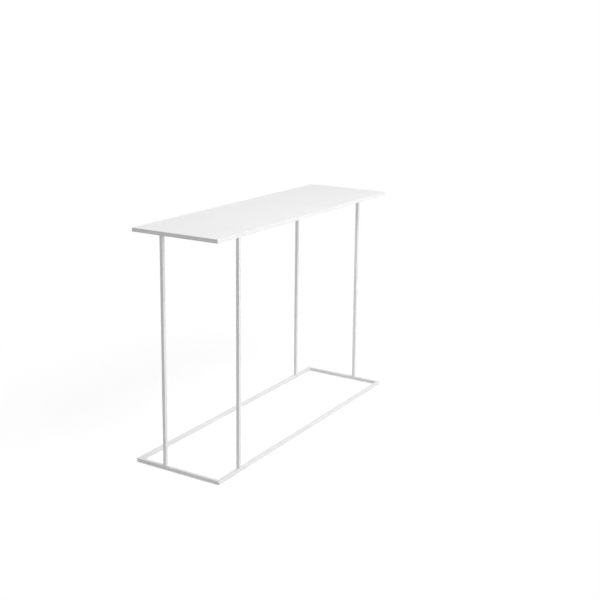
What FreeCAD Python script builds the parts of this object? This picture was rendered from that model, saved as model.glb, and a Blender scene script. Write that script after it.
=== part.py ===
"""Console table: a thin steel top and a floor ring of square bar, held apart by four bar legs.

The legs stand one on each side of the rectangle, each the same way round from its corner, so the table
looks the same after half a turn about Z. The origin is on the floor under the middle of the top, X runs
along the length and Y towards the back.
"""
import FreeCAD
import Part
import Sketcher
import math
import os
from collections import namedtuple

Vector = FreeCAD.Vector
UP = Vector(0, 0, 1)
LENGTHWAYS = Vector(1, 0, 0)
PARALLEL = 1e-6

# Driving dimensions in millimetres, and two counts.
SIZES = {
    "table_length": 1000,
    "table_width": 300,
    "table_height": 710,
    "bar_size": 10,  # side of the square bar of the rings and legs
    "bar_edge_radius": 0.6,
    "corner_radius": 1.5,  # outer corners of the rings and of the sheet, seen from above
    "leg_setback": 100,  # from a ring's corner to the near flank of the leg that follows it
    "sheet_thickness": 1.5,
    "sheet_edge_radius": 0.4,
    "weld_leg": 2.5,  # how far a bead runs along each of the two faces that it joins
    "weld_crown": 0.3,  # how far its open side bulges
    "stitch_length": 25,
    "stitch_margin": 45,  # from an inner corner of the ring to the first stitch
    "stitches_on_long_side": 6,
    "stitches_on_short_side": 3,
    "glide_diameter": 8,
    "glide_thickness": 1.5,
    "glide_chamfer": 0.4,
    "glide_inset": 30,  # from a ring's corner to the middle of the nearest glide
}

# Heights above the floor, and the leg that fits between the two rings.
BASE_RING_LEVEL = "Sizes.glide_thickness"
LEG_LEVEL = "(Sizes.glide_thickness + Sizes.bar_size)"
SHEET_LEVEL = "(Sizes.table_height - Sizes.sheet_thickness)"
TOP_RING_LEVEL = f"({SHEET_LEVEL} - Sizes.bar_size)"
LEG_LENGTH = f"({TOP_RING_LEVEL} - {LEG_LEVEL})"
LEG_MIDDLE = f"({TOP_RING_LEVEL} + {LEG_LEVEL}) / 2"

# A side is walked anticlockwise seen from above: its turn about Z, its own length and the depth across it.
Side = namedtuple("Side", "name turn span across")
FRONT = Side("front", 0, "Sizes.table_length", "Sizes.table_width")
RIGHT = Side("right", 90, "Sizes.table_width", "Sizes.table_length")
BACK = Side("back", 180, "Sizes.table_length", "Sizes.table_width")
LEFT = Side("left", 270, "Sizes.table_width", "Sizes.table_length")
SIDES = (FRONT, RIGHT, BACK, LEFT)

# Sketch references: the origin point, the horizontal axis, and the points of a curve.
ORIGIN = (-1, 1)
HORIZONTAL_AXIS = -1
START, END, CENTRE = 1, 2, 3

doc = FreeCAD.newDocument("console_table")
sheet = doc.addObject("Spreadsheet::Sheet", "Sizes")
for number, (alias, size) in enumerate(SIZES.items(), start=1):
    sheet.set(f"A{number}", alias)
    sheet.set(f"B{number}", str(size))
    sheet.setAlias(f"B{number}", alias)
doc.recompute()
bodies = []


def value(expression):
    """Number that an expression on the sheet stands for now."""
    return float(sheet.evalExpression(expression))


def new_body(label):
    """Empty sub-part, whose label names its file; a group of like beads stays separate solids in it."""
    body = doc.addObject("PartDesign::Body", label)
    body.Label = label
    body.AllowCompound = True
    bodies.append(body)
    return body


def datum(body, role):
    """Origin plane or axis of a body."""
    return next(feature for feature in body.Origin.OriginFeatures if feature.Role == role)


def new_sketch(body, plane):
    sketch = body.newObject("Sketcher::SketchObject", f"{body.Label}_sketch")
    sketch.AttachmentSupport = [(datum(body, plane), "")]
    sketch.MapMode = "FlatFace"
    return sketch


def line(sketch, start, end):
    return sketch.addGeometry(Part.LineSegment(Vector(*start), Vector(*end)))


def arc(sketch, centre, radius, first, last):
    """Arc from the first angle to the last, anticlockwise, in degrees."""
    circle = Part.Circle(Vector(*centre), UP, radius)
    return sketch.addGeometry(Part.ArcOfCircle(circle, math.radians(first), math.radians(last)))


def relate(sketch, kind, *where):
    sketch.addConstraint(Sketcher.Constraint(kind, *where))


def measure(sketch, kind, where, expression):
    """Dimension of a sketch, bound to the sheet."""
    index = sketch.addConstraint(Sketcher.Constraint(kind, *where, value(expression)))
    sketch.setExpression(f"Constraints[{index}]", expression)


def pad(body, sketch, length, sides="One side"):
    feature = body.newObject("PartDesign::Pad", f"{body.Label}_pad")
    feature.Profile = sketch
    feature.SideType = sides
    feature.setExpression("Length", length)
    body.Tip = feature
    doc.recompute()
    return feature


def ease_edges(body, kind, size, wanted):
    """Fillet or chamfer the edges of the body's last feature that pass the test."""
    base = body.Tip
    names = [f"Edge{number}" for number, edge in enumerate(base.Shape.Edges, start=1) if wanted(edge)]
    feature = body.newObject(f"PartDesign::{kind}", f"{body.Label}_{kind}")
    feature.Base = (base, names)
    feature.setExpression("Radius" if kind == "Fillet" else "Size", size)
    body.Tip = feature
    doc.recompute()


def is_along(edge, axis):
    """Whether an edge is straight and lies along an axis."""
    return isinstance(edge.Curve, Part.Line) and edge.Curve.Direction.cross(axis).Length < PARALLEL


def is_upright(edge):
    return is_along(edge, UP)


def is_round(edge):
    return isinstance(edge.Curve, Part.Circle)


def repeat(body, original, *steps):
    """Copies of one feature by mirrors and rows, taken one after the other."""
    feature = body.newObject("PartDesign::MultiTransform", f"{body.Label}_copies")
    feature.Originals = [original]
    feature.Transformations = list(steps)
    body.Tip = feature
    doc.recompute()


def mirror(body, plane):
    feature = body.newObject("PartDesign::Mirrored", f"{body.Label}_mirror")
    feature.MirrorPlane = (datum(body, plane), [""])
    return feature


def row(body, axis, length, count):
    feature = body.newObject("PartDesign::LinearPattern", f"{body.Label}_row")
    feature.Direction = (datum(body, axis), [""])
    feature.setExpression("Length", length)
    feature.setExpression("Occurrences", count)
    return feature


def stand(body, side, along, inward, level):
    """Place a body on a side: along it from its middle, inward from its outer face, above the floor."""
    cosine = round(math.cos(math.radians(side.turn)))
    sine = round(math.sin(math.radians(side.turn)))
    reach = f"({inward} - {side.across} / 2)"
    body.Placement = FreeCAD.Placement(Vector(), FreeCAD.Rotation(UP, side.turn))
    body.setExpression("Placement.Base.x", f"{cosine} * ({along}) - {sine} * {reach}")
    body.setExpression("Placement.Base.y", f"{sine} * ({along}) + {cosine} * {reach}")
    body.setExpression("Placement.Base.z", level)


def rectangle(sketch, width, depth):
    """Rectangle about the sketch's origin."""
    x = value(width) / 2
    y = value(depth) / 2
    corners = [(-x, -y), (x, -y), (x, y), (-x, y)]
    edges = [line(sketch, corners[i], corners[(i + 1) % len(corners)]) for i in range(len(corners))]
    for i, edge in enumerate(edges):
        relate(sketch, "Coincident", edge, END, edges[(i + 1) % len(edges)], START)
        relate(sketch, "Vertical" if i % 2 else "Horizontal", edge)
    front, right, back, _ = edges
    relate(sketch, "Symmetric", front, START, back, START, *ORIGIN)
    measure(sketch, "DistanceX", (front, START, front, END), width)
    measure(sketch, "DistanceY", (right, START, right, END), depth)


def mitred_plan(sketch, span):
    """Plan of a ring bar: outer side on the X axis, both ends mitred, the outer tips rounded."""
    half = value(span) / 2
    depth = value("Sizes.bar_size")
    radius = value("Sizes.corner_radius")
    mitre = 45
    drop = radius * (1 - math.cos(math.radians(mitre)))
    outer = line(sketch, (radius - half, 0), (half - radius, 0))
    right_tip = arc(sketch, (half - radius, radius), radius, -90, -mitre)
    right_cut = line(sketch, (half - drop, drop), (half - depth, depth))
    inner = line(sketch, (half - depth, depth), (depth - half, depth))
    left_cut = line(sketch, (depth - half, depth), (drop - half, drop))
    left_tip = arc(sketch, (radius - half, radius), radius, mitre - 180, -90)

    relate(sketch, "Tangent", outer, END, right_tip, START)
    relate(sketch, "Coincident", right_tip, END, right_cut, START)
    relate(sketch, "Coincident", right_cut, END, inner, START)
    relate(sketch, "Coincident", inner, END, left_cut, START)
    relate(sketch, "Coincident", left_cut, END, left_tip, START)
    relate(sketch, "Tangent", left_tip, END, outer, START)
    relate(sketch, "PointOnObject", outer, START, HORIZONTAL_AXIS)
    relate(sketch, "Horizontal", outer)
    relate(sketch, "Horizontal", inner)
    measure(sketch, "DistanceY", (*ORIGIN, inner, START), "Sizes.bar_size")
    measure(sketch, "DistanceX", (*ORIGIN, inner, START), f"{span} / 2 - Sizes.bar_size")
    measure(sketch, "DistanceX", (inner, END, *ORIGIN), f"{span} / 2 - Sizes.bar_size")
    measure(sketch, "DistanceX", (*ORIGIN, right_tip, CENTRE), f"{span} / 2 - Sizes.corner_radius")
    measure(sketch, "DistanceX", (left_tip, CENTRE, *ORIGIN), f"{span} / 2 - Sizes.corner_radius")
    for tip, cut in ((right_tip, right_cut), (left_tip, left_cut)):
        measure(sketch, "Radius", (tip,), "Sizes.corner_radius")
        relate(sketch, "PointOnObject", tip, CENTRE, cut)


def bead_section(sketch, across, above, outward):
    """Section of a fillet weld between an upright wall and the face above it.

    The corner lies across and above the sketch's origin. The bead runs from it along the face, to the
    right where outward is 1 and to the left where it is -1, and down the wall. Its open side bulges.
    """
    run = value("Sizes.weld_leg")
    crown = value("Sizes.weld_crown")
    x = value(across)
    y = value(above)
    radius = run ** 2 / (4 * crown) + crown / 2
    sag = (radius - crown) / math.sqrt(2)
    middle = (x + outward * (run / 2 - sag), y - run / 2 + sag)
    half_turn = math.degrees(math.asin(run / math.sqrt(2) / radius))
    facing = -45 if outward > 0 else -135
    face = line(sketch, (x, y), (x + outward * run, y))
    wall = line(sketch, (x, y - run), (x, y))
    crest = arc(sketch, middle, radius, facing - half_turn, facing + half_turn)
    low, high = (START, END) if outward > 0 else (END, START)

    relate(sketch, "Coincident", face, START, wall, END)
    relate(sketch, "Coincident", crest, low, wall, START)
    relate(sketch, "Coincident", crest, high, face, END)
    relate(sketch, "Horizontal", face)
    relate(sketch, "Vertical", wall)
    along_face = (face, START, face, END) if outward > 0 else (face, END, face, START)
    measure(sketch, "DistanceX", along_face, "Sizes.weld_leg")
    measure(sketch, "DistanceY", (wall, START, wall, END), "Sizes.weld_leg")
    measure(sketch, "DistanceX", (*ORIGIN, face, START), across)
    measure(sketch, "DistanceY", (*ORIGIN, face, START), above)
    measure(sketch, "Radius", (crest,), "Sizes.weld_leg ^ 2 / (4 * Sizes.weld_crown) + Sizes.weld_crown / 2")


def ring_bar(label, side, level):
    """Mitred square bar on one side of a ring, its long edges eased."""
    body = new_body(label)
    sketch = new_sketch(body, "XY_Plane")
    mitred_plan(sketch, side.span)
    pad(body, sketch, "Sizes.bar_size")
    is_long = lambda edge: is_round(edge) or is_along(edge, LENGTHWAYS)
    ease_edges(body, "Fillet", "Sizes.bar_edge_radius", is_long)
    stand(body, side, "0", "0", level)


def leg_place(side):
    """Where a leg's axis lies along its side, from the side's middle."""
    return f"Sizes.leg_setback + (Sizes.bar_size - {side.span}) / 2"


def leg(side):
    """Square bar from ring to ring, flush with their outer faces, set back from the corner it follows."""
    body = new_body(f"{side.name}_leg")
    sketch = new_sketch(body, "XY_Plane")
    rectangle(sketch, "Sizes.bar_size", "Sizes.bar_size")
    pad(body, sketch, LEG_LENGTH)
    ease_edges(body, "Fillet", "Sizes.bar_edge_radius", is_upright)
    stand(body, side, leg_place(side), "Sizes.bar_size / 2", LEG_LEVEL)


def leg_welds(side):
    """Fillet beads on both flanks of a leg, at its head and at its foot, as wide as the flat of the bar."""
    body = new_body(f"{side.name}_leg_welds")
    sketch = new_sketch(body, "XZ_Plane")
    bead_section(sketch, "Sizes.bar_size / 2", f"{LEG_LENGTH} / 2", 1)
    bead = pad(body, sketch, "Sizes.bar_size - 2 * Sizes.bar_edge_radius", sides="Symmetric")
    repeat(body, bead, mirror(body, "YZ_Plane"), mirror(body, "XY_Plane"))
    stand(body, side, leg_place(side), "Sizes.bar_size / 2", LEG_MIDDLE)


def corner_welds(label, level):
    """Upright beads in the four inner corners of a ring, as tall as the flat of the bar."""
    body = new_body(label)
    sketch = new_sketch(body, "XY_Plane")
    inner_length = "Sizes.table_length / 2 - Sizes.bar_size"
    inner_width = "Sizes.table_width / 2 - Sizes.bar_size"
    bead_section(sketch, inner_length, inner_width, -1)
    bead = pad(body, sketch, "Sizes.bar_size - 2 * Sizes.bar_edge_radius", sides="Symmetric")
    repeat(body, bead, mirror(body, "YZ_Plane"), mirror(body, "XZ_Plane"))
    body.setExpression("Placement.Base.z", f"{level} + Sizes.bar_size / 2")


def stitch_welds(label, side, count):
    """Rows of short beads that hold the sheet to the inner faces of two opposite top bars."""
    body = new_body(label)
    sketch = new_sketch(body, "YZ_Plane")
    bead_section(sketch, f"{side.across} / 2 - Sizes.bar_size", "0", -1)
    start = f"{side.span} / 2 - Sizes.bar_size - Sizes.stitch_margin"
    bead = pad(body, sketch, "Sizes.stitch_length")
    sketch.setExpression("AttachmentOffset.Base.z", f"-({start})")
    travel = row(body, "X_Axis", f"2 * ({start}) - Sizes.stitch_length", count)
    repeat(body, bead, travel, mirror(body, "XZ_Plane"))
    body.Placement = FreeCAD.Placement(Vector(), FreeCAD.Rotation(UP, side.turn))
    body.setExpression("Placement.Base.z", SHEET_LEVEL)


def top_sheet():
    """Flat sheet on the top ring, flush with it all round, its upper edge eased."""
    body = new_body("top_sheet")
    sketch = new_sketch(body, "XY_Plane")
    rectangle(sketch, "Sizes.table_length", "Sizes.table_width")
    pad(body, sketch, "Sizes.sheet_thickness")
    ease_edges(body, "Fillet", "Sizes.corner_radius", is_upright)
    middle = value("Sizes.sheet_thickness / 2")
    is_upper = lambda edge: edge.CenterOfMass.z > middle and not is_upright(edge)
    ease_edges(body, "Fillet", "Sizes.sheet_edge_radius", is_upper)
    body.setExpression("Placement.Base.z", SHEET_LEVEL)


def glide(side, place, along):
    """Round button under a long bar of the floor ring, its lower rim chamfered."""
    body = new_body(f"{side.name}_{place}_glide")
    sketch = new_sketch(body, "XY_Plane")
    circle = sketch.addGeometry(Part.Circle(Vector(), UP, value("Sizes.glide_diameter / 2")))
    relate(sketch, "Coincident", circle, CENTRE, *ORIGIN)
    measure(sketch, "Radius", (circle,), "Sizes.glide_diameter / 2")
    pad(body, sketch, "Sizes.glide_thickness")
    middle = value("Sizes.glide_thickness / 2")
    is_lower = lambda edge: edge.CenterOfMass.z < middle and not is_upright(edge)
    ease_edges(body, "Chamfer", "Sizes.glide_chamfer", is_lower)
    stand(body, side, along, "Sizes.bar_size / 2", "0")


def export():
    """Write every sub-part to its own file, once the whole document is sound."""
    doc.recompute()
    for item in doc.Objects:
        if "Invalid" in item.State or "Error" in item.State:
            raise RuntimeError(f"{item.Label} failed: {item.State}")
    for body in bodies:
        if body.Shape.isNull() or not body.Shape.isValid():
            raise RuntimeError(f"{body.Label} has no sound shape")
    os.makedirs("parts", exist_ok=True)
    for body in bodies:
        body.Shape.exportStep(f"parts/{body.Label}.step")


for one_side in SIDES:
    ring_bar(f"base_{one_side.name}_bar", one_side, BASE_RING_LEVEL)
    ring_bar(f"top_{one_side.name}_bar", one_side, TOP_RING_LEVEL)
    leg(one_side)
    leg_welds(one_side)
corner_welds("base_corner_welds", BASE_RING_LEVEL)
corner_welds("top_corner_welds", TOP_RING_LEVEL)
stitch_welds("long_side_stitch_welds", FRONT, "Sizes.stitches_on_long_side")
stitch_welds("short_side_stitch_welds", RIGHT, "Sizes.stitches_on_short_side")
top_sheet()
for long_side, rightward in ((FRONT, 1), (BACK, -1)):
    for place, steps in (("left", -1), ("middle", 0), ("right", 1)):
        glide(long_side, place, f"{steps * rightward} * ({long_side.span} / 2 - Sizes.glide_inset)")
export()
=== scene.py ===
"""White console table of square steel bar: powder coat, welds, glides and a plain studio."""
import math

import bmesh
import bpy
from mathutils import Matrix, Vector


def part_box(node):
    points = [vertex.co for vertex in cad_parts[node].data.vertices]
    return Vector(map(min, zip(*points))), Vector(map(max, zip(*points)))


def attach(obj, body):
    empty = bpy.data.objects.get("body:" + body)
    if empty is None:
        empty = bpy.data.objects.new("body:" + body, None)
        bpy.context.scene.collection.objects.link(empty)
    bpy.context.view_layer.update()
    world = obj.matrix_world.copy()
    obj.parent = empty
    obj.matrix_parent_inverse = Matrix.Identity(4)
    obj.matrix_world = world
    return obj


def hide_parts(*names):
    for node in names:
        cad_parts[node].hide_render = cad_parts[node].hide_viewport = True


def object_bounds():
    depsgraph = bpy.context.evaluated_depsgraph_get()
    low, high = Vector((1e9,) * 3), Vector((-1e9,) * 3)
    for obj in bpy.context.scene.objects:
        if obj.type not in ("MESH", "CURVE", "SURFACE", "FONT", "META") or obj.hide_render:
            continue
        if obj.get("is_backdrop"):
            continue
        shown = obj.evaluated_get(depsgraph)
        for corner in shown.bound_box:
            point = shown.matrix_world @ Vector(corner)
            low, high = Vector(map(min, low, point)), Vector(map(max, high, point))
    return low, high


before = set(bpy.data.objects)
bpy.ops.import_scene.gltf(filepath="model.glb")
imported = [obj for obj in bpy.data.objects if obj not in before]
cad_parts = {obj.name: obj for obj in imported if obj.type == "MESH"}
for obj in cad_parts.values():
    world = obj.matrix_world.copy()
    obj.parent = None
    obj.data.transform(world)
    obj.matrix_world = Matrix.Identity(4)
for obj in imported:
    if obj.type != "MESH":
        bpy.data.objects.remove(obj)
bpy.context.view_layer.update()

bl_info = {
    "name": "Console Table Finish",
    "version": (1, 0, 0),
    "blender": (4, 5, 0),
    "location": "View3D > Sidebar > Table",
    "description": "Coats, welds and stages a console table of square steel bar",
    "category": "Object",
}

BODY = "root"

SIDES = ("front", "right", "back", "left")
RING_BARS = [f"{ring}_{side}_bar" for ring in ("base", "top") for side in SIDES]
LEGS = [f"{side}_leg" for side in SIDES]
GLIDES = [f"{side}_{place}_glide"
          for side in ("front", "back") for place in ("left", "middle", "right")]
CORNER_WELDS = ("base_corner_welds", "top_corner_welds")
STITCH_WELDS = ("long_side_stitch_welds", "short_side_stitch_welds")
X, Y = range(2)

# Names of what all beads share
BEAD_TREE = "weld_beads"
BEAD_COAT = "coated_weld"

# Extra octaves of each noise
CLOUD_OCTAVES, PEEL_OCTAVES, GRAIN_OCTAVES, WAVE_OCTAVES, SPECKLE_OCTAVES = 3, 2, 1, 0, 2
# Lowest and highest levels of the clouds and of the specks, which become 0 and 1
CLOUD_LEVELS = 0.3, 0.7
SPECKLE_LEVELS = 0.35, 0.65

# Steps of a weld bead along a ripple, points of its arc, and steps of a glide's rim
STEPS_PER_RIPPLE = 6
SECTION_POINTS = 11
RIM_STEPS = 6
# Turn between two faces of a glide from which their edge is sharp
SHARP_TURN = math.radians(40)
# Distance in metres below which points are merged
SAME_POINT = 1e-7
# Decimals of a metre by which the ends of stitches are told apart
END_DECIMALS = 5
# Share of the shadows' reach at which they begin to fade
FADE_START = 0.5

# Places of the sockets for a colour and for a vector among those of a Mix node
MIX_SHARE = 0
MIX_FIRST, MIX_SECOND, MIX_COLOUR = 6, 7, 2
MIX_FIRST_VECTOR, MIX_SECOND_VECTOR, MIX_VECTOR = 4, 5, 1


# Settings

class CoatSettings(bpy.types.PropertyGroup):
    """Powder coat on every steel piece."""
    white: bpy.props.FloatVectorProperty(
        name="White", description="Colour of the coat where it lies thick", subtype="COLOR",
        size=3, min=0, max=1, default=(0.88, 0.88, 0.88))
    thin_white: bpy.props.FloatVectorProperty(
        name="Thin white", description="Colour of the coat where it lies thin", subtype="COLOR",
        size=3, min=0, max=1, default=(0.858, 0.858, 0.858))
    roughness: bpy.props.FloatProperty(
        name="Roughness", description="Satin gloss of the coat",
        subtype="FACTOR", min=0, max=1, default=0.4)
    thick_roughness: bpy.props.FloatProperty(
        name="Thick roughness", description="Roughness that is added where the coat lies thick",
        subtype="FACTOR", min=0, max=1, default=0.05)
    grain_roughness: bpy.props.FloatProperty(
        name="Grain roughness", description="Roughness that is added on the grains of powder",
        subtype="FACTOR", min=0, max=1, default=0.06)
    cloud_size: bpy.props.FloatProperty(
        name="Cloud size", description="Width of the areas where the coat lies thick or thin",
        subtype="DISTANCE", unit="LENGTH", default=0.16)
    peel_size: bpy.props.FloatProperty(
        name="Peel size", description="Width of the dimples that the melted powder leaves",
        subtype="DISTANCE", unit="LENGTH", precision=5, default=0.0022)
    peel_depth: bpy.props.FloatProperty(
        name="Peel depth", description="Depth of the coat's dimples",
        subtype="DISTANCE", unit="LENGTH", precision=6, default=0.00007)
    grain_size: bpy.props.FloatProperty(
        name="Grain size", description="Width of the grains of powder",
        subtype="DISTANCE", unit="LENGTH", precision=5, default=0.0004)
    grain_depth: bpy.props.FloatProperty(
        name="Grain depth", description="Height of the grains of powder",
        subtype="DISTANCE", unit="LENGTH", precision=6, default=0.000004)
    seam_width: bpy.props.FloatProperty(
        name="Seam width", description="Width of the line that grinding leaves along a mitre",
        subtype="DISTANCE", unit="LENGTH", precision=5, default=0.0006)
    seam_depth: bpy.props.FloatProperty(
        name="Seam depth", description="Depth of the ground line along a mitre",
        subtype="DISTANCE", unit="LENGTH", precision=6, default=0.00003)
    wave_size: bpy.props.FloatProperty(
        name="Wave size", description="Length of the faint waves in the sheet of the top",
        subtype="DISTANCE", unit="LENGTH", default=0.22)
    wave_depth: bpy.props.FloatProperty(
        name="Wave depth", description="Depth of the waves in the sheet",
        subtype="DISTANCE", unit="LENGTH", precision=5, default=0.00015)


class WeldSettings(bpy.types.PropertyGroup):
    """Weld beads under the coat."""
    ripple_pitch: bpy.props.FloatProperty(
        name="Ripple pitch", description="Distance from one ripple of a bead to the next",
        subtype="DISTANCE", unit="LENGTH", precision=5, default=0.0013)
    ripple_lag: bpy.props.FloatProperty(
        name="Ripple lag", description="How far the sides of a ripple trail behind its middle",
        subtype="DISTANCE", unit="LENGTH", precision=5, default=0.0012)
    ripple_share: bpy.props.FloatProperty(
        name="Ripple depth", description="Depth of a ripple as a share of the bead's radius",
        subtype="FACTOR", min=0, max=0.5, default=0.09)
    end_share: bpy.props.FloatProperty(
        name="End", description="Radius at the very end of a bead as a share of its full radius",
        subtype="FACTOR", min=0, max=1, default=0.45)


class GlideSettings(bpy.types.PropertyGroup):
    """Nylon buttons under the floor ring."""
    nylon: bpy.props.FloatVectorProperty(
        name="Nylon", description="Colour of a glide", subtype="COLOR",
        size=3, min=0, max=1, default=(0.74, 0.74, 0.72))
    scuffed: bpy.props.FloatVectorProperty(
        name="Scuffed", description="Colour of a glide where the floor rubs it", subtype="COLOR",
        size=3, min=0, max=1, default=(0.6, 0.6, 0.585))
    roughness: bpy.props.FloatProperty(
        name="Roughness", description="Roughness of a glide",
        subtype="FACTOR", min=0, max=1, default=0.5)
    scuffed_roughness: bpy.props.FloatProperty(
        name="Scuffed roughness", description="Roughness that is added where the floor rubs",
        subtype="FACTOR", min=0, max=1, default=0.25)
    speckle_size: bpy.props.FloatProperty(
        name="Speckle size", description="Width of the specks on a moulded glide",
        subtype="DISTANCE", unit="LENGTH", precision=5, default=0.0006)
    speckle_depth: bpy.props.FloatProperty(
        name="Speckle depth", description="Depth of the specks on a moulded glide",
        subtype="DISTANCE", unit="LENGTH", precision=6, default=0.00002)
    rim_share: bpy.props.FloatProperty(
        name="Rim", description="Radius of the lower rim as a share of the glide's thickness",
        subtype="FACTOR", min=0, max=1, default=0.45)
    sides: bpy.props.IntProperty(
        name="Sides", description="Number of steps round a glide", min=12, default=48)


class StageSettings(bpy.types.PropertyGroup):
    """Floor, light and camera."""
    floor_reach: bpy.props.FloatProperty(
        name="Floor reach", description="Distance from the table's middle to the floor's edges",
        subtype="DISTANCE", unit="LENGTH", default=30)
    floor_grey: bpy.props.FloatProperty(
        name="Floor grey", description="How much of its light the floor sends back up",
        subtype="FACTOR", min=0, max=1, default=0.75)
    shadow_share: bpy.props.FloatProperty(
        name="Shadow", description="How strongly shadows show on the white floor",
        subtype="FACTOR", min=0, max=1, default=0.35)
    shadow_start: bpy.props.FloatProperty(
        name="Shadow start", description="Share of full light below which the floor is not white",
        subtype="FACTOR", min=0, max=1, default=0.76)
    contact_share: bpy.props.FloatProperty(
        name="Contact shadow", description="How strongly shadows show under the floor ring",
        subtype="FACTOR", min=0, max=1, default=1)
    contact_reach: bpy.props.FloatProperty(
        name="Contact reach", description="Distance from the ring at which shadows are faint again",
        subtype="DISTANCE", unit="LENGTH", precision=4, default=0.001)
    shadow_reach: bpy.props.FloatProperty(
        name="Shadow reach", description="Distance from the table's middle where shadows end",
        subtype="DISTANCE", unit="LENGTH", default=1.3)
    sky: bpy.props.FloatProperty(
        name="Sky", description="Even light from all round", min=0, default=0.36)
    high_place: bpy.props.FloatVectorProperty(
        name="High box place", description="Where the soft box high in front of the table hangs",
        subtype="XYZ", unit="LENGTH", size=3, default=(-0.4, -1.8, 2.6))
    high_size: bpy.props.FloatVectorProperty(
        name="High box size", description="Width and height of the box high in front of the table",
        subtype="XYZ", unit="LENGTH", size=2, default=(1.6, 1.2))
    high_power: bpy.props.FloatProperty(
        name="High box power", description="Power of the box high in front of the table",
        subtype="POWER", unit="POWER", min=0, default=37.5)
    side_place: bpy.props.FloatVectorProperty(
        name="Side box place", description="Where the soft box to the right of the table stands",
        subtype="XYZ", unit="LENGTH", size=3, default=(3.0, -0.6, 1.2))
    side_size: bpy.props.FloatVectorProperty(
        name="Side box size", description="Width and height of the box to the right of the table",
        subtype="XYZ", unit="LENGTH", size=2, default=(1.2, 1.2))
    side_power: bpy.props.FloatProperty(
        name="Side box power", description="Power of the box to the right of the table",
        subtype="POWER", unit="POWER", min=0, default=22)
    low_place: bpy.props.FloatVectorProperty(
        name="Low box place", description="Where the soft box low in front of the table stands",
        subtype="XYZ", unit="LENGTH", size=3, default=(0.4, -2.6, 1.0))
    low_size: bpy.props.FloatVectorProperty(
        name="Low box size", description="Width and height of the box low in front of the table",
        subtype="XYZ", unit="LENGTH", size=2, default=(1.0, 1.8))
    low_power: bpy.props.FloatProperty(
        name="Low box power", description="Power of the box low in front of the table",
        subtype="POWER", unit="POWER", min=0, default=16)
    back_place: bpy.props.FloatVectorProperty(
        name="Back box place", description="Where the soft box high behind the table hangs",
        subtype="XYZ", unit="LENGTH", size=3, default=(0, 1.5, 2.8))
    back_size: bpy.props.FloatVectorProperty(
        name="Back box size", description="Width and height of the box high behind the table",
        subtype="XYZ", unit="LENGTH", size=2, default=(1.6, 1.2))
    back_power: bpy.props.FloatProperty(
        name="Back box power", description="Power of the box high behind the table",
        subtype="POWER", unit="POWER", min=0, default=14)
    camera_place: bpy.props.FloatVectorProperty(
        name="Camera place", description="Where the camera stands, in front and to the left",
        subtype="XYZ", unit="LENGTH", size=3, default=(-2.693, -1.734, 1.274))
    camera_heading: bpy.props.FloatProperty(
        name="Camera heading", description="Way that the camera faces, turned from X towards Y",
        subtype="ANGLE", unit="ROTATION", default=math.radians(31.15))
    camera_dip: bpy.props.FloatProperty(
        name="Camera dip", description="How far the camera looks down",
        subtype="ANGLE", unit="ROTATION", default=math.radians(11.78))
    camera_roll: bpy.props.FloatProperty(
        name="Camera roll", description="How far the camera leans to the right",
        subtype="ANGLE", unit="ROTATION", default=math.radians(0.65))
    lens: bpy.props.FloatProperty(
        name="Lens", description="Focal length on a sensor 36 mm wide",
        subtype="DISTANCE_CAMERA", unit="CAMERA", min=1, default=61.5)
    rise: bpy.props.FloatProperty(
        name="Rise", description="Upright shift of the lens as a share of the picture",
        subtype="FACTOR", min=-1, max=1, default=-0.1)


# Nodes and materials

class Wire:
    """A value in a node tree, on which plain arithmetic adds Math nodes."""

    def __init__(self, socket):
        self.socket = socket

    @classmethod
    def node(cls, tree, kind, sockets=None, output=0, **settings):
        """Add a node, set it up, fill its sockets with values or links, and give an output if any."""
        made = tree.nodes.new(kind)
        for name, setting in settings.items():
            setattr(made, name, setting)
        for key, content in (sockets or {}).items():
            if isinstance(content, cls):
                tree.links.new(content.socket, made.inputs[key])
            else:
                made.inputs[key].default_value = content
        return cls(made.outputs[output]) if made.outputs else None

    def math(self, operation, *values):
        sockets = dict(enumerate(values))
        return Wire.node(self.socket.id_data, "ShaderNodeMath", sockets, operation=operation)

    def __add__(self, other):
        return self.math("ADD", self, other)

    __radd__ = __add__

    def __sub__(self, other):
        return self.math("SUBTRACT", self, other)

    def __rsub__(self, other):
        return self.math("SUBTRACT", other, self)

    def __mul__(self, other):
        return self.math("MULTIPLY", self, other)

    __rmul__ = __mul__

    def __truediv__(self, other):
        return self.math("DIVIDE", self, other)

    def __rtruediv__(self, other):
        return self.math("DIVIDE", other, self)

    def __abs__(self):
        return self.math("ABSOLUTE", self)

    def sine(self):
        return self.math("SINE", self)

    def root(self):
        return self.math("SQRT", self)

    def at_least(self, other):
        return self.math("MAXIMUM", self, other)

    def at_most(self, other):
        return self.math("MINIMUM", self, other)

    def step(self, low, high):
        """0 below low, 1 above high and a smooth rise between them."""
        tree = self.socket.id_data
        sockets = {"Value": self, "From Min": low, "From Max": high}
        return Wire.node(tree, "ShaderNodeMapRange", sockets, interpolation_type="SMOOTHSTEP")


def new_material(name):
    """Material and its empty tree."""
    material = bpy.data.materials.new(name)
    material.use_nodes = True
    material.node_tree.nodes.clear()
    return material, material.node_tree


def mix_colour(tree, share, first, second):
    """First colour, with a share of the second."""
    sockets = {MIX_SHARE: share, MIX_FIRST: (*first, 1), MIX_SECOND: (*second, 1)}
    return Wire.node(tree, "ShaderNodeMix", sockets, MIX_COLOUR, data_type="RGBA")


def noise(tree, place, size, detail):
    """Noise from 0 to 1 whose features are about as wide as size."""
    sockets = {"Vector": place, "Scale": 1 / size, "Detail": detail}
    return Wire.node(tree, "ShaderNodeTexNoise", sockets)


def object_place(tree):
    return Wire.node(tree, "ShaderNodeTexCoord", output="Object")


def axis(tree, place, name):
    return Wire.node(tree, "ShaderNodeSeparateXYZ", {"Vector": place}, output=name)


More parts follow.
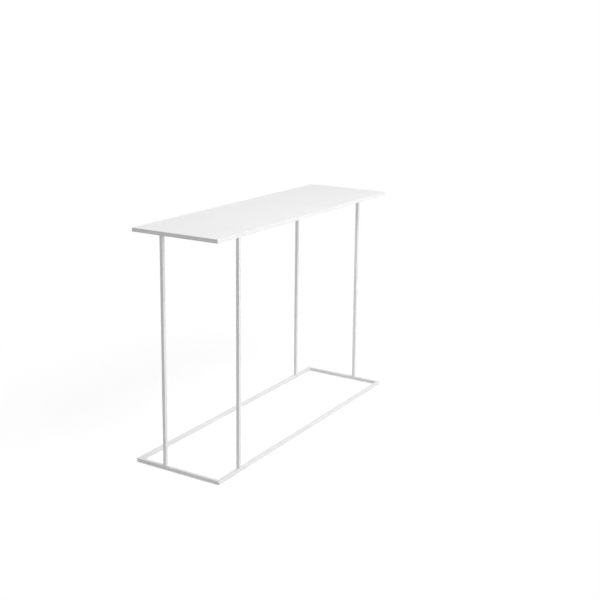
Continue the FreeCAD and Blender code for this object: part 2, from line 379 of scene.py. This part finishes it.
def relief(tree, height):
    """Normal of a surface with a height in metres."""
    return Wire.node(tree, "ShaderNodeBump", {"Height": height, "Distance": 1.0})


def mitre_seam(tree, place, width):
    """1 along the four mitres of a ring, seen from above, and 0 away from them."""
    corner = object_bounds()[1]
    across = abs(axis(tree, place, "X")) - abs(axis(tree, place, "Y")) - (corner.x - corner.y)
    return 1 - abs(across).step(0, width)


def powder_coat(name, seam=False, waves=False):
    """Satin white powder coat, clouded, dimpled and grainy.

    With a seam it shows ground mitres, and with waves the unevenness of thin sheet.
    """
    coat = bpy.context.scene.table_coat
    material, tree = new_material(name)
    place = object_place(tree)
    cloud = noise(tree, place, coat.cloud_size, CLOUD_OCTAVES).step(*CLOUD_LEVELS)
    grain = noise(tree, place, coat.grain_size, GRAIN_OCTAVES)
    height = noise(tree, place, coat.peel_size, PEEL_OCTAVES) * coat.peel_depth
    height += grain * coat.grain_depth
    if waves:
        height += noise(tree, place, coat.wave_size, WAVE_OCTAVES) * coat.wave_depth
    if seam:
        height -= mitre_seam(tree, place, coat.seam_width) * coat.seam_depth
    shader = Wire.node(tree, "ShaderNodeBsdfPrincipled", {
        "Base Color": mix_colour(tree, cloud, coat.thin_white, coat.white),
        "Roughness": coat.roughness + cloud * coat.thick_roughness + grain * coat.grain_roughness,
        "Normal": relief(tree, height),
    })
    Wire.node(tree, "ShaderNodeOutputMaterial", {"Surface": shader})
    return material


def moulded_nylon(name):
    """Matt off-white nylon, rubbed grey underneath."""
    glide = bpy.context.scene.table_glide
    material, tree = new_material(name)
    place = object_place(tree)
    low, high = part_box(GLIDES[0])
    speckle = noise(tree, place, glide.speckle_size, SPECKLE_OCTAVES)
    lower = 1 - axis(tree, place, "Z").step(low.z, (low.z + high.z) / 2)
    rubbed = lower * speckle.step(*SPECKLE_LEVELS)
    shader = Wire.node(tree, "ShaderNodeBsdfPrincipled", {
        "Base Color": mix_colour(tree, rubbed, glide.nylon, glide.scuffed),
        "Roughness": glide.roughness + rubbed * glide.scuffed_roughness,
        "Normal": relief(tree, speckle * glide.speckle_depth),
    })
    Wire.node(tree, "ShaderNodeOutputMaterial", {"Surface": shader})
    return material


# Meshes

def add_piece(name, mesh, node):
    """Object for a finished mesh, in place of a CAD node and riding on the table."""
    piece = bpy.data.objects.new(name, mesh)
    bpy.context.scene.collection.objects.link(piece)
    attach(piece, BODY)
    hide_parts(node)


def coat_node(node, material):
    """Give a CAD node its finish."""
    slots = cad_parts[node].data.materials
    slots.clear()
    slots.append(material)


def geometry_tree(name, inputs, result):
    """Empty tree of geometry nodes with inputs of named kinds and one shape as its result."""
    tree = bpy.data.node_groups.new(name, "GeometryNodeTree")
    for label, kind in inputs.items():
        tree.interface.new_socket(label, in_out="INPUT", socket_type=f"NodeSocket{kind}")
    tree.interface.new_socket(result, in_out="OUTPUT", socket_type="NodeSocketGeometry")
    return tree


def given(tree, name):
    """Input of a tree of geometry nodes."""
    return Wire.node(tree, "NodeGroupInput", output=name)


def end_tree(tree, shape, material, result):
    """Make the shape a plain mesh in its material and give it out."""
    shape = Wire.node(tree, "GeometryNodeRealizeInstances", {"Geometry": shape})
    shape = Wire.node(tree, "GeometryNodeSetMaterial", {"Geometry": shape, "Material": material})
    Wire.node(tree, "NodeGroupOutput", {result: shape})


def grown_mesh(name, source, tree, inputs):
    """Closed mesh that a tree of geometry nodes makes from the edges of a source mesh."""
    maker = bpy.data.objects.new(f"{name}_maker", source)
    bpy.context.scene.collection.objects.link(maker)
    modifier = maker.modifiers.new("maker", "NODES")
    modifier.node_group = tree
    for item in tree.interface.items_tree:
        if item.in_out == "INPUT" and item.name in inputs:
            modifier[item.identifier] = inputs[item.name]
    shown = maker.evaluated_get(bpy.context.evaluated_depsgraph_get())
    mesh = bpy.data.meshes.new_from_object(shown)
    if not mesh.polygons:
        raise RuntimeError(f"nothing came out for {name}")
    mesh.name = name
    bpy.data.objects.remove(maker)
    outward_faces(mesh)
    return mesh


def bead_tree():
    """Geometry nodes that turn the edges of a mesh into rippled weld beads.

    An edge lies in the corner that its bead fills, and its points hold the way out of that corner.
    """
    tree = geometry_tree(BEAD_TREE, {
        "Corners": "Geometry", "Radius": "Float", "Ripple Pitch": "Float", "Ripple Lag": "Float",
        "Ripple Share": "Float", "End Share": "Float", "Coat": "Material"}, "Beads")

    def store(geometry, name, value, kind):
        return Wire.node(tree, "GeometryNodeStoreNamedAttribute",
                         {"Geometry": geometry, "Name": name, "Value": value}, data_type=kind)

    def stored(name, kind):
        return Wire.node(tree, "GeometryNodeInputNamedAttribute", {"Name": name}, data_type=kind)

    radius = given(tree, "Radius")
    pitch = given(tree, "Ripple Pitch")
    end_share = given(tree, "End Share")
    curve = Wire.node(tree, "GeometryNodeMeshToCurve", {"Mesh": given(tree, "Corners")})
    curve = Wire.node(tree, "GeometryNodeResampleCurve",
                      {"Curve": curve, "Length": pitch / STEPS_PER_RIPPLE}, mode="LENGTH")
    curve = Wire.node(tree, "GeometryNodeSetCurveNormal",
                      {"Curve": curve, "Normal": stored("outward", "FLOAT_VECTOR")}, mode="FREE")
    along = Wire.node(tree, "GeometryNodeSplineParameter", output="Length")
    whole = Wire.node(tree, "GeometryNodeSplineLength", output="Length")
    from_end = (along.at_most(whole - along) / radius).at_most(1)
    rounding = (from_end * (2 - from_end)).root()
    curve = store(curve, "along", along, "FLOAT")
    curve = store(curve, "fullness", end_share + (1 - end_share) * rounding, "FLOAT")
    curve = store(curve, "corner", Wire.node(tree, "GeometryNodeInputPosition"), "FLOAT_VECTOR")

    section = Wire.node(tree, "GeometryNodeCurveArc", {
        "Resolution": SECTION_POINTS, "Radius": radius, "Start Angle": -math.pi / 4,
        "Sweep Angle": math.pi / 2, "Connect Center": True}, mode="RADIUS")
    around = Wire.node(tree, "GeometryNodeInputIndex") * (2 / (SECTION_POINTS - 1)) - 1
    section = store(section, "around", around, "FLOAT")
    beads = Wire.node(tree, "GeometryNodeCurveToMesh", {
        "Curve": curve, "Profile Curve": section, "Fill Caps": True})

    side = stored("around", "FLOAT")
    phase = (stored("along", "FLOAT") - side * side * given(tree, "Ripple Lag")) / pitch
    ripple = 1 - given(tree, "Ripple Share") * abs((phase * math.pi).sine())
    place = Wire.node(tree, "ShaderNodeMix", {
        MIX_SHARE: ripple * stored("fullness", "FLOAT"),
        MIX_FIRST_VECTOR: stored("corner", "FLOAT_VECTOR"),
        MIX_SECOND_VECTOR: Wire.node(tree, "GeometryNodeInputPosition"),
    }, MIX_VECTOR, data_type="VECTOR")
    beads = Wire.node(tree, "GeometryNodeSetPosition", {"Geometry": beads, "Position": place})
    for name in ("along", "fullness", "corner", "around", "outward"):
        beads = Wire.node(tree, "GeometryNodeRemoveAttribute", {"Geometry": beads, "Name": name})
    end_tree(tree, beads, given(tree, "Coat"), "Beads")
    return tree


def make_beads(node, corners, radius):
    """Rippled beads in place of a CAD node, one for each (start, end, way out of the corner)."""
    weld = bpy.context.scene.table_weld
    mesh = bpy.data.meshes.new(f"{node}_corners")
    points = [point for start, end, _ in corners for point in (start, end)]
    mesh.from_pydata(points, [(first, first + 1) for first in range(0, len(points), 2)], [])
    outward = mesh.attributes.new("outward", "FLOAT_VECTOR", "POINT")
    outward.data.foreach_set("vector", [value for *_, way in corners for value in (*way, *way)])
    tree = bpy.data.node_groups.get(BEAD_TREE) or bead_tree()
    coat = bpy.data.materials.get(BEAD_COAT) or powder_coat(BEAD_COAT)
    beads = grown_mesh(f"{node}_beads", mesh, tree, {
        "Radius": radius, "Ripple Pitch": weld.ripple_pitch, "Ripple Lag": weld.ripple_lag,
        "Ripple Share": weld.ripple_share, "End Share": weld.end_share, "Coat": coat})
    add_piece(f"{node}_rippled", beads, node)


def outward_faces(mesh):
    """Close the seams of a mesh and turn its faces outwards."""
    shape = bmesh.new()
    shape.from_mesh(mesh)
    bmesh.ops.remove_doubles(shape, verts=shape.verts, dist=SAME_POINT)
    bmesh.ops.recalc_face_normals(shape, faces=shape.faces)
    shape.to_mesh(mesh)
    shape.free()


def bead_radius():
    """How far a bead runs along the faces that it joins."""
    weld_low, weld_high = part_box("front_leg_welds")
    leg_low, leg_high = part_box("front_leg")
    return (weld_high.x - weld_low.x - (leg_high.x - leg_low.x)) / 2


def leg_corners(side):
    """Corners between a leg's flanks and the two rings."""
    leg_low, leg_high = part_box(f"{side}_leg")
    weld_low, weld_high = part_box(f"{side}_leg_welds")
    along, across = (X, Y) if side in ("front", "back") else (Y, X)
    corners = []
    for flank, turn in ((leg_low, -1), (leg_high, 1)):
        for level, rise in ((leg_low.z, 1), (leg_high.z, -1)):
            start = Vector((0, 0, level))
            start[along] = flank[along]
            end = start.copy()
            start[across] = weld_low[across]
            end[across] = weld_high[across]
            way = Vector((0, 0, rise))
            way[along] = turn
            corners.append((start, end, way.normalized()))
    return corners


def ring_corners(node):
    """Upright inner corners of a ring."""
    low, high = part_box(node)
    corners = []
    for x, turn_x in ((low.x, 1), (high.x, -1)):
        for y, turn_y in ((low.y, 1), (high.y, -1)):
            way = Vector((turn_x, turn_y, 0)).normalized()
            corners.append((Vector((x, y, low.z)), Vector((x, y, high.z)), way))
    return corners


def stitch_corners(node, along, across):
    """Stretches of the corner under the sheet that hold a stitch."""
    low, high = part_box(node)
    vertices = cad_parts[node].data.vertices
    ends = sorted({round(vertex.co[along], END_DECIMALS) for vertex in vertices})
    corners = []
    for first, last in zip(ends[::2], ends[1::2]):
        for wall, turn in ((low[across], 1), (high[across], -1)):
            start = Vector((0, 0, high.z))
            start[across] = wall
            end = start.copy()
            start[along] = first
            end[along] = last
            way = Vector((0, 0, -1))
            way[across] = turn
            corners.append((start, end, way.normalized()))
    return corners


def glide_tree():
    """Geometry nodes that turn the profile of a glide round its axis.

    The profile is a line of edges from the axis to the side and back to the axis. Its X is measured
    outwards from the side and its Y downwards from the seat.
    """
    tree = geometry_tree("turned_glide", {
        "Profile": "Geometry", "Radius": "Float", "Sides": "Int", "Seat": "Vector",
        "Nylon": "Material"}, "Glide")
    side = Wire.node(tree, "GeometryNodeCurvePrimitiveCircle", {
        "Resolution": given(tree, "Sides"), "Radius": given(tree, "Radius")}, mode="RADIUS")
    side = Wire.node(tree, "GeometryNodeSetCurveNormal", {"Curve": side}, mode="Z_UP")
    profile = Wire.node(tree, "GeometryNodeMeshToCurve", {"Mesh": given(tree, "Profile")})
    glide = Wire.node(tree, "GeometryNodeCurveToMesh", {"Curve": side, "Profile Curve": profile})
    glide = Wire.node(tree, "GeometryNodeTransform", {
        "Geometry": glide, "Translation": given(tree, "Seat")})
    end_tree(tree, glide, given(tree, "Nylon"), "Glide")
    return tree


def turned_button(node, tree, material):
    """Glide turned from a profile: flat seat, straight side, rounded lower rim and flat sole."""
    glide = bpy.context.scene.table_glide
    low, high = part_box(node)
    radius = (high.x - low.x) / 2
    thickness = high.z - low.z
    rim = glide.rim_share * thickness
    turns = [math.pi / 2 * step / RIM_STEPS for step in range(RIM_STEPS + 1)]
    points = [(-radius, 0, 0), (0, 0, 0)]
    points += [(rim * (math.cos(turn) - 1), thickness + rim * (math.sin(turn) - 1), 0)
               for turn in turns]
    points.append((-radius, thickness, 0))
    profile = bpy.data.meshes.new(f"{node}_profile")
    profile.from_pydata(points, [(first, first + 1) for first in range(len(points) - 1)], [])
    seat = Vector(((low.x + high.x) / 2, (low.y + high.y) / 2, high.z))
    mesh = grown_mesh(f"{node}_turned", profile, tree, {
        "Radius": radius, "Sides": glide.sides, "Seat": seat, "Nylon": material})
    mesh.set_sharp_from_angle(angle=SHARP_TURN)
    add_piece(f"{node}_button", mesh, node)


# Stage

def seen_by_camera(tree):
    """1 for a ray that ends in the picture: direct, in a reflection or through something clear."""
    names = ("Is Camera Ray", "Is Glossy Ray", "Is Transmission Ray")
    direct, glossy, clear = (Wire.node(tree, "ShaderNodeLightPath", output=name) for name in names)
    return (direct + glossy + clear).at_most(1)


def mix_shader(tree, share, first, second):
    return Wire.node(tree, "ShaderNodeMixShader", {0: share, 1: first, 2: second})


def glow(tree, strength):
    return Wire.node(tree, "ShaderNodeEmission", {"Color": (1, 1, 1, 1), "Strength": strength})


def matt(tree, grey):
    return Wire.node(tree, "ShaderNodeBsdfDiffuse", {"Color": (grey, grey, grey, 1)})


def shadowed(tree, share):
    """White in full light, and in shadow darker by a share of the light that is missing."""
    start = bpy.context.scene.table_stage.shadow_start
    sockets = {0: glow(tree, 1 - share * start), 1: matt(tree, share)}
    return Wire.node(tree, "ShaderNodeAddShader", sockets)


def off_the_ring(tree, place, reach):
    """0 under the bars of the floor ring, rising to 1 within a reach beside them."""
    bar_low, bar_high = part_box("base_front_bar")
    half_bar = (bar_high.z - bar_low.z) / 2
    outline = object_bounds()[1]
    beyond_x = abs(axis(tree, place, "X")) - outline.x
    beyond_y = abs(axis(tree, place, "Y")) - outline.y
    return abs(beyond_x.at_least(beyond_y) + half_bar).step(half_bar, half_bar + reach)


def white_floor():
    """Floor that shows white with a faint shadow, and is clear when seen from below."""
    stage = bpy.context.scene.table_stage
    material, tree = new_material("white_floor")
    place = object_place(tree)
    shaded = mix_shader(tree, off_the_ring(tree, place, stage.contact_reach),
                        shadowed(tree, stage.contact_share), shadowed(tree, stage.shadow_share))
    away = Wire.node(tree, "ShaderNodeVectorMath", {0: place}, "Value", operation="LENGTH")
    faded = away.step(FADE_START * stage.shadow_reach, stage.shadow_reach)
    shown = mix_shader(tree, faded, shaded, glow(tree, 1))
    above = mix_shader(tree, seen_by_camera(tree), matt(tree, stage.floor_grey), shown)
    below = Wire.node(tree, "ShaderNodeNewGeometry", output="Backfacing")
    whole = mix_shader(tree, below, above, Wire.node(tree, "ShaderNodeBsdfTransparent"))
    Wire.node(tree, "ShaderNodeOutputMaterial", {"Surface": whole})
    return material


def lay_floor():
    reach = bpy.context.scene.table_stage.floor_reach
    mesh = bpy.data.meshes.new("floor")
    corners = [(-reach, -reach, 0), (reach, -reach, 0), (reach, reach, 0), (-reach, reach, 0)]
    mesh.from_pydata(corners, [], [(0, 1, 2, 3)])
    mesh.materials.append(white_floor())
    floor = bpy.data.objects.new("floor", mesh)
    bpy.context.scene.collection.objects.link(floor)
    floor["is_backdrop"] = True


def light_sky():
    """Even light all round that shows as white behind the table."""
    stage = bpy.context.scene.table_stage
    world = bpy.data.worlds.new("studio")
    world.use_nodes = True
    tree = world.node_tree
    tree.nodes.clear()
    strength = stage.sky + seen_by_camera(tree) * (1 - stage.sky)
    sky = Wire.node(tree, "ShaderNodeBackground", {"Color": (1, 1, 1, 1), "Strength": strength})
    Wire.node(tree, "ShaderNodeOutputWorld", {"Surface": sky})
    bpy.context.scene.world = world


def place_soft_box(name, place, size, power):
    """Rectangular lamp aimed at the middle of the table and left out of reflections."""
    low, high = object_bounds()
    lamp = bpy.data.lights.new(name, "AREA")
    lamp.shape = "RECTANGLE"
    lamp.size, lamp.size_y = size
    lamp.energy = power
    box = bpy.data.objects.new(name, lamp)
    box.location = place
    box.rotation_euler = ((low + high) / 2 - box.location).to_track_quat("-Z", "Y").to_euler()
    box.visible_glossy = False
    bpy.context.scene.collection.objects.link(box)


def place_camera():
    stage = bpy.context.scene.table_stage
    optics = bpy.data.cameras.new("camera")
    optics.lens = stage.lens
    optics.shift_y = stage.rise
    camera = bpy.data.objects.new("camera", optics)
    forward = Vector((math.cos(stage.camera_heading) * math.cos(stage.camera_dip),
                      math.sin(stage.camera_heading) * math.cos(stage.camera_dip),
                      -math.sin(stage.camera_dip)))
    aim = forward.to_track_quat("-Z", "Y").to_matrix() @ Matrix.Rotation(stage.camera_roll, 3, "Z")
    camera.matrix_world = Matrix.Translation(stage.camera_place) @ aim.to_4x4()
    bpy.context.scene.collection.objects.link(camera)
    bpy.context.scene.camera = camera


# Operators

class TABLE_OT_coat_frame(bpy.types.Operator):
    """Coat the bars of both rings, with their ground mitres, and the legs"""
    bl_idname = "table.coat_frame"
    bl_label = "Coat Rings and Legs"

    def execute(self, context):
        coated_ring = powder_coat("coated_ring", seam=True)
        coated_leg = powder_coat("coated_leg")
        for node in RING_BARS:
            coat_node(node, coated_ring)
        for node in LEGS:
            coat_node(node, coated_leg)
        return {"FINISHED"}


class TABLE_OT_coat_top(bpy.types.Operator):
    """Coat the sheet of the top"""
    bl_idname = "table.coat_top"
    bl_label = "Coat Top"

    def execute(self, context):
        coat_node("top_sheet", powder_coat("coated_sheet", waves=True))
        return {"FINISHED"}


class TABLE_OT_leg_welds(bpy.types.Operator):
    """Lay the beads on both flanks of each leg"""
    bl_idname = "table.leg_welds"
    bl_label = "Weld Legs"

    def execute(self, context):
        for side in SIDES:
            make_beads(f"{side}_leg_welds", leg_corners(side), bead_radius())
        return {"FINISHED"}


class TABLE_OT_corner_welds(bpy.types.Operator):
    """Lay the beads in the inner corners of both rings"""
    bl_idname = "table.corner_welds"
    bl_label = "Weld Corners"

    def execute(self, context):
        for node in CORNER_WELDS:
            make_beads(node, ring_corners(node), bead_radius())
        return {"FINISHED"}


class TABLE_OT_stitch_welds(bpy.types.Operator):
    """Lay the stitches that hold the sheet to the top ring"""
    bl_idname = "table.stitch_welds"
    bl_label = "Stitch Sheet"

    def execute(self, context):
        for node, along, across in zip(STITCH_WELDS, (X, Y), (Y, X)):
            make_beads(node, stitch_corners(node, along, across), bead_radius())
        return {"FINISHED"}


class TABLE_OT_glides(bpy.types.Operator):
    """Turn the nylon glides under the floor ring"""
    bl_idname = "table.glides"
    bl_label = "Turn Glides"

    def execute(self, context):
        nylon = moulded_nylon("moulded_nylon")
        tree = glide_tree()
        for node in GLIDES:
            turned_button(node, tree, nylon)
        return {"FINISHED"}


class TABLE_OT_stage(bpy.types.Operator):
    """Lay the floor, light it and place the camera"""
    bl_idname = "table.stage"
    bl_label = "Set Stage"

    def execute(self, context):
        context.scene.view_settings.view_transform = "Standard"
        lay_floor()
        light_sky()
        stage = context.scene.table_stage
        place_soft_box("high_box", stage.high_place, stage.high_size, stage.high_power)
        place_soft_box("side_box", stage.side_place, stage.side_size, stage.side_power)
        place_soft_box("low_box", stage.low_place, stage.low_size, stage.low_power)
        place_soft_box("back_box", stage.back_place, stage.back_size, stage.back_power)
        place_camera()
        return {"FINISHED"}


class TABLE_PT_finish(bpy.types.Panel):
    """Steps and settings of the table's finish"""
    bl_label = "Console Table"
    bl_idname = "TABLE_PT_finish"
    bl_space_type = "VIEW_3D"
    bl_region_type = "UI"
    bl_category = "Table"

    def draw(self, context):
        for step in STEPS:
            self.layout.operator(step.bl_idname)
        for name in SETTINGS:
            settings = getattr(context.scene, name)
            box = self.layout.box()
            for setting in settings.bl_rna.properties:
                if setting.identifier not in ("rna_type", "name"):
                    box.prop(settings, setting.identifier)


SETTINGS = {
    "table_coat": CoatSettings,
    "table_weld": WeldSettings,
    "table_glide": GlideSettings,
    "table_stage": StageSettings,
}
STEPS = (TABLE_OT_coat_frame, TABLE_OT_coat_top, TABLE_OT_leg_welds, TABLE_OT_corner_welds,
         TABLE_OT_stitch_welds, TABLE_OT_glides, TABLE_OT_stage)
CLASSES = (*SETTINGS.values(), *STEPS, TABLE_PT_finish)


def register():
    for cls in CLASSES:
        bpy.utils.register_class(cls)
    for name, settings in SETTINGS.items():
        setattr(bpy.types.Scene, name, bpy.props.PointerProperty(type=settings))


def unregister():
    for name in SETTINGS:
        delattr(bpy.types.Scene, name)
    for cls in reversed(CLASSES):
        bpy.utils.unregister_class(cls)


def main():
    """Run every step."""
    register()
    bpy.ops.table.coat_frame()
    bpy.ops.table.coat_top()
    bpy.ops.table.leg_welds()
    bpy.ops.table.corner_welds()
    bpy.ops.table.stitch_welds()
    bpy.ops.table.glides()
    bpy.ops.table.stage()


if __name__ == "__main__":
    main()
